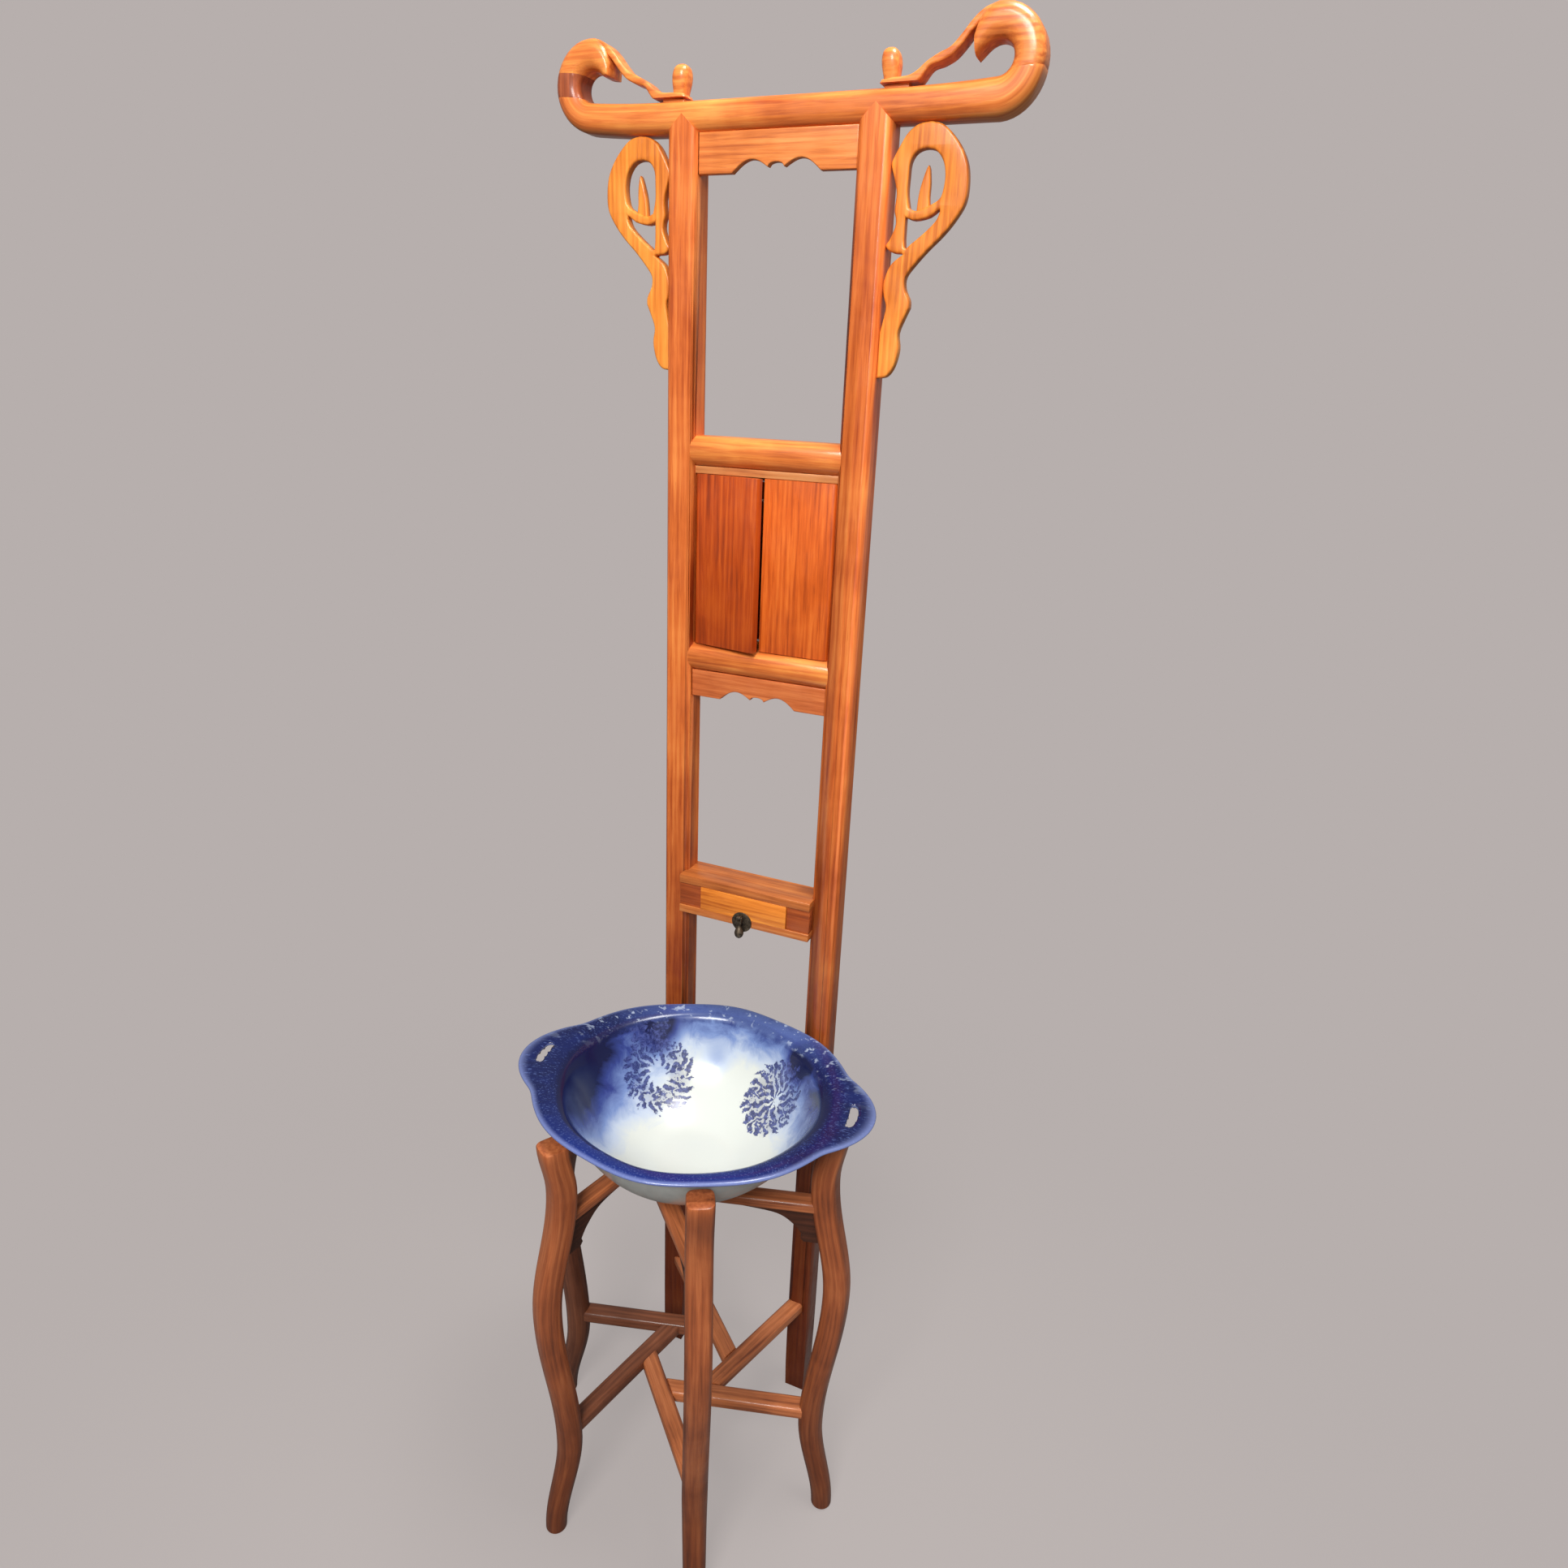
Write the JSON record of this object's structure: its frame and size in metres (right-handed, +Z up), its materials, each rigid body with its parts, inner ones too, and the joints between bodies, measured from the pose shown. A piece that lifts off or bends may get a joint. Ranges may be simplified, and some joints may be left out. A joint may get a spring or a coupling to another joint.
{
  "type": "shaving washstand",
  "caption": "High-back wooden washstand for shaving, with curved legs, interlocked stretchers, a lift-out wash bowl, a small drawer, mirror doors and a curled crest rail.",
  "frame": {"origin": "on the floor, under the middle of the stand's outline", "axes": "+X to the right, +Y to the back, +Z up"},
  "size_m": [0.5714, 0.4078, 1.9329],
  "materials": {
    "frame_wood": "gloss lacquer over honey-orange wood",
    "leg_wood": "worn lacquer over red-brown wood",
    "dark_wood": "matt dark brown wood",
    "splice_wood": "lacquer over darker wood",
    "carving_wood": "lacquer over yellow-brown wood",
    "board_wood": "satin lacquer over brown wood",
    "block_wood": "satin dark red-brown wood",
    "door_wood": "lacquer over orange-brown figured wood",
    "plain_wood": "unlacquered pale wood",
    "nail": "dark iron",
    "aged_brass": "aged and worn brass",
    "mirror": "silvered glass",
    "porcelain": "glossy glazed porcelain with a blue rim"
  },
  "bodies": {
    "stand": {"left_post": "frame_wood", "right_post": "frame_wood", "leg_right": "leg_wood", "leg_left": "leg_wood", "leg_front_left": "leg_wood", "leg_front_right": "leg_wood", "lower_stretcher_right": "leg_wood", "lower_stretcher_back_right": "leg_wood", "lower_stretcher_back_left": "leg_wood", "lower_stretcher_left": "leg_wood", "lower_stretcher_front_left": "leg_wood", "lower_stretcher_front_right": "leg_wood", "upper_stretcher_right": "leg_wood", "upper_stretcher_back_right": "leg_wood", "upper_stretcher_back_left": "leg_wood", "upper_stretcher_left": "leg_wood", "upper_stretcher_front_left": "leg_wood", "upper_stretcher_front_right": "leg_wood", "arched_brace_right": "dark_wood", "arched_brace_back_right": "dark_wood", "arched_brace_back_left": "dark_wood", "arched_brace_left": "dark_wood", "arched_brace_front_left": "dark_wood", "arched_brace_front_right": "dark_wood", "stretcher_nails": "nail", "crest_rail": "frame_wood", "crest_head_left": "frame_wood", "crest_head_right": "frame_wood", "crest_splice_left": "splice_wood", "upper_apron": "carving_wood", "lower_apron": "carving_wood", "side_bracket_left": "carving_wood", "side_bracket_right": "carving_wood", "upper_door_rail": "frame_wood", "lower_door_rail": "frame_wood", "door_head_strip": "board_wood", "mirror": "mirror", "mirror_backboard": "dark_wood", "case_top": "board_wood", "case_bottom": "board_wood", "case_back": "dark_wood", "case_block_left": "block_wood", "case_block_right": "block_wood"},
    "left_door": {"left_door": "door_wood"},
    "right_door": {"right_door": "door_wood"},
    "drawer": {"drawer_front": "carving_wood", "drawer_side_left": "plain_wood", "drawer_side_right": "plain_wood", "drawer_back": "plain_wood", "drawer_bottom": "plain_wood", "pull_plate": "aged_brass", "pull_staple": "aged_brass"},
    "pull_drop": {"pull_drop": "aged_brass"},
    "wash_bowl": {"wash_bowl": "porcelain"}
  },
  "joints": [
    {"name": "left_door_pivot", "type": "hinge", "parent": "stand", "child": "left_door", "pos_m": [-0.0892, 0.17887, 1.3545], "axis": [0, 0, -1], "range_deg": [-10, 85]},
    {"name": "right_door_pivot", "type": "hinge", "parent": "stand", "child": "right_door", "pos_m": [0.0892, 0.17887, 1.3545], "axis": [0, 0, 1], "range_deg": [0, 95]},
    {"name": "drawer_slide", "type": "slide", "parent": "stand", "child": "drawer", "axis": [0, -1, 0], "range_m": [0, 0.025]},
    {"name": "pull_drop_swing", "type": "hinge", "parent": "drawer", "child": "pull_drop", "pos_m": [0, 0.14077, 0.872], "axis": [-1, 0, 0], "range_deg": [0, 85]},
    {"name": "wash_bowl_lift", "type": "slide", "parent": "stand", "child": "wash_bowl", "axis": [0, 0, 1], "range_m": [0, 0.12]}
  ]
}
